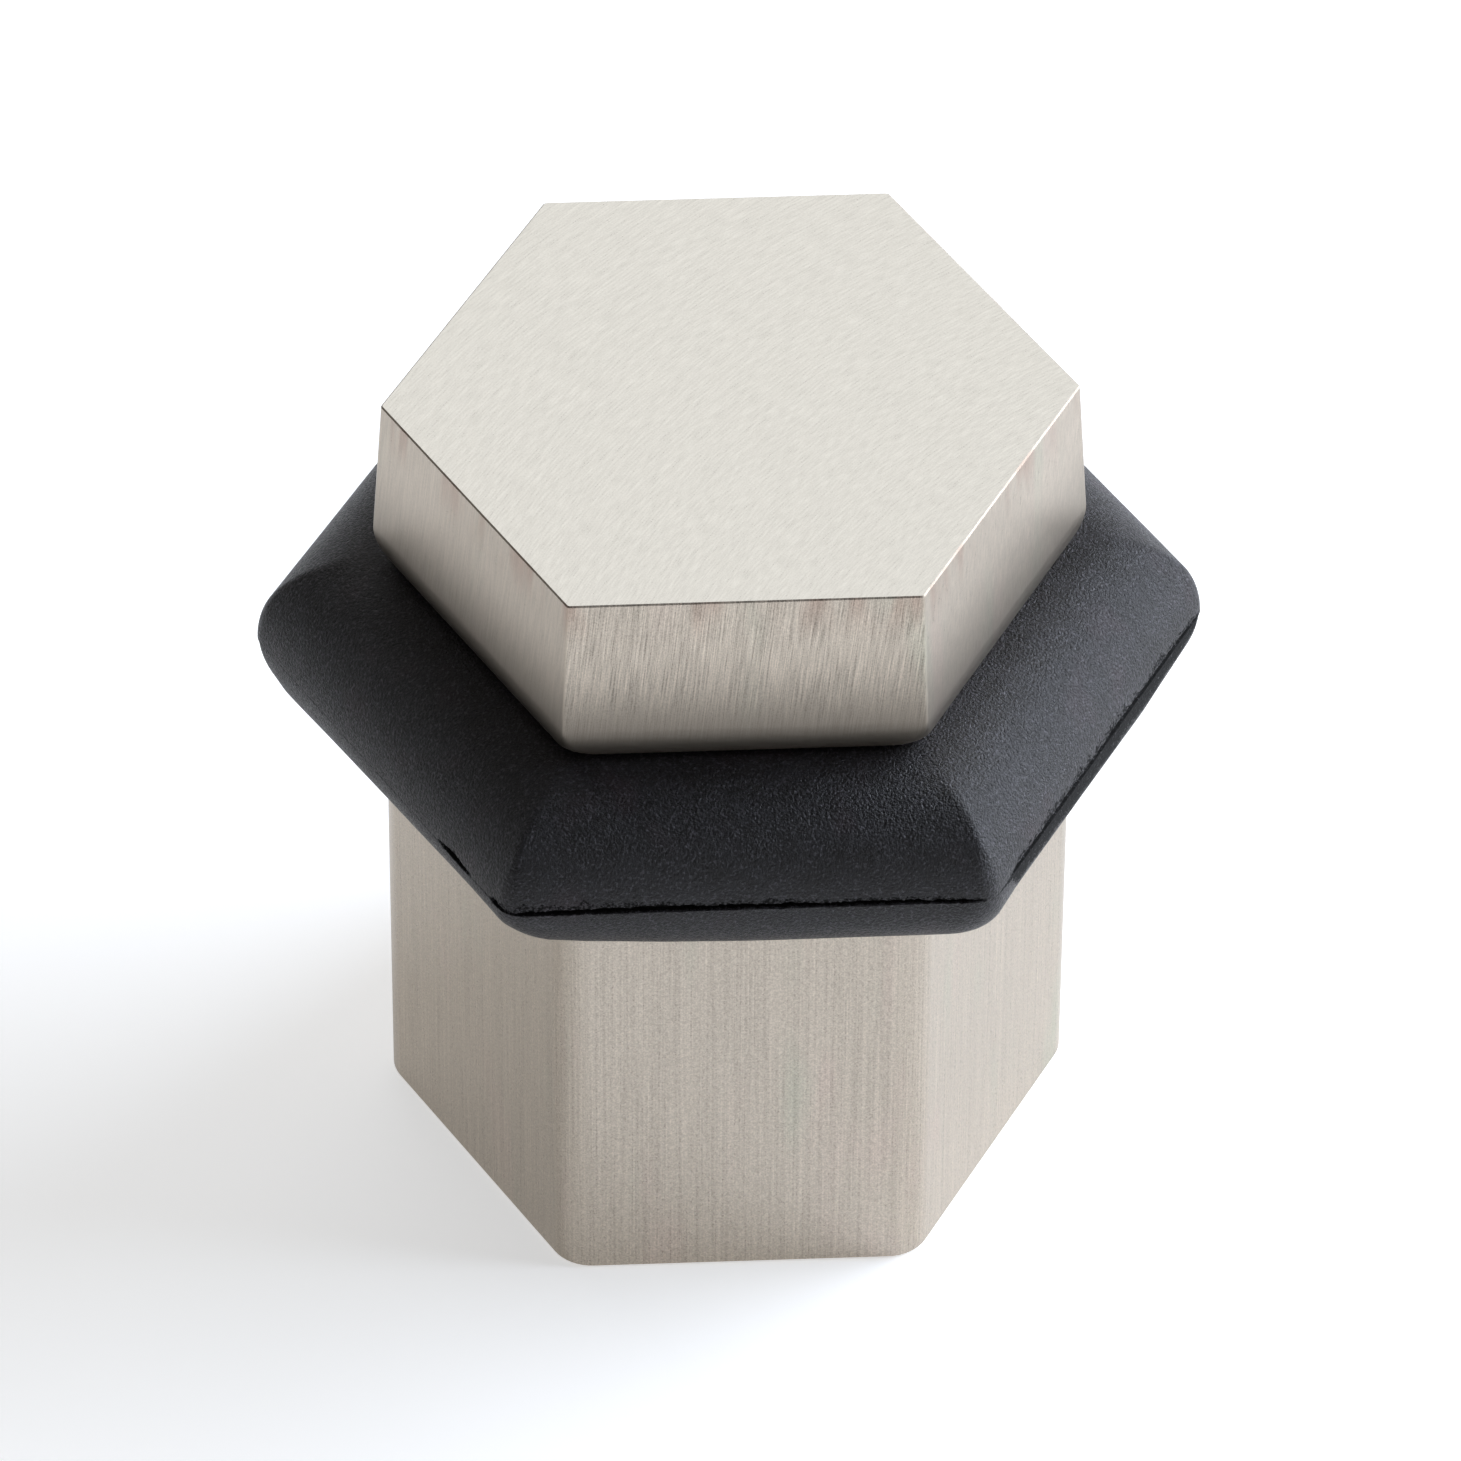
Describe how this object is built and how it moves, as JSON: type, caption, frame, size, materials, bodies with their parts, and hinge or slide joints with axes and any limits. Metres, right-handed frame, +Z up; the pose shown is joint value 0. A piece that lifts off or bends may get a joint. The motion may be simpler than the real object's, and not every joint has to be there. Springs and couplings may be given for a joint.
{
  "type": "floor door stop",
  "caption": "Hexagonal floor door stop: a brushed metal post and a drafted metal cap clamp a round-nosed hexagonal rubber bumper ring around a threaded stud.",
  "frame": {"origin": "centre of the post's underside, on the floor", "axes": "+Z up along the stop's own axis; two opposite flats face -Y and +Y; two corners point along +X and -X"},
  "size_m": [0.0394, 0.0344, 0.038],
  "materials": {
    "nickel": "brushed satin nickel plate",
    "rubber": "matte moulded rubber",
    "stud_steel": "dark plain steel"
  },
  "bodies": {
    "root": {"post": "nickel", "bumper_ring": "rubber", "cap": "nickel", "joining_stud": "stud_steel"}
  },
  "joints": []
}
